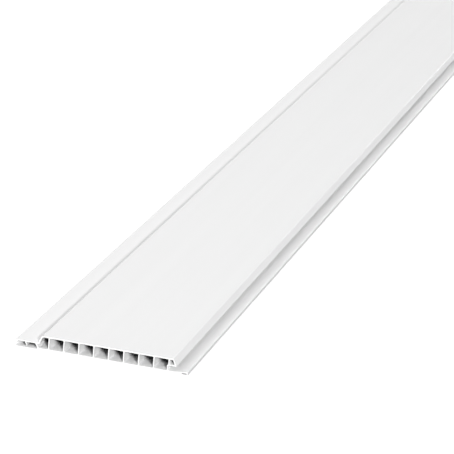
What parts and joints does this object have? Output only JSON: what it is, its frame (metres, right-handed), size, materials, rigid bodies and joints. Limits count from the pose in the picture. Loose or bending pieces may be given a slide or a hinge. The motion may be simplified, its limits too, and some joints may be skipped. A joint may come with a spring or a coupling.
{
  "type": "pvc wall panel",
  "caption": "Hollow-core PVC lining panel, one extruded length with a tongue on one long edge and a grooved bead over a flat fixing flange on the other.",
  "frame": {"origin": "on the back plane, under the middle of the panel's length and overall width", "axes": "+X across the panel from the tongue to the fixing flange, +Y along its length, +Z from the back to the face that shows"},
  "size_m": [0.1244, 2.6, 0.01],
  "materials": {
    "white_pvc": "satin white extruded rigid PVC, cut square at both ends"
  },
  "bodies": {
    "root": {"panel": "white_pvc"}
  },
  "joints": []
}
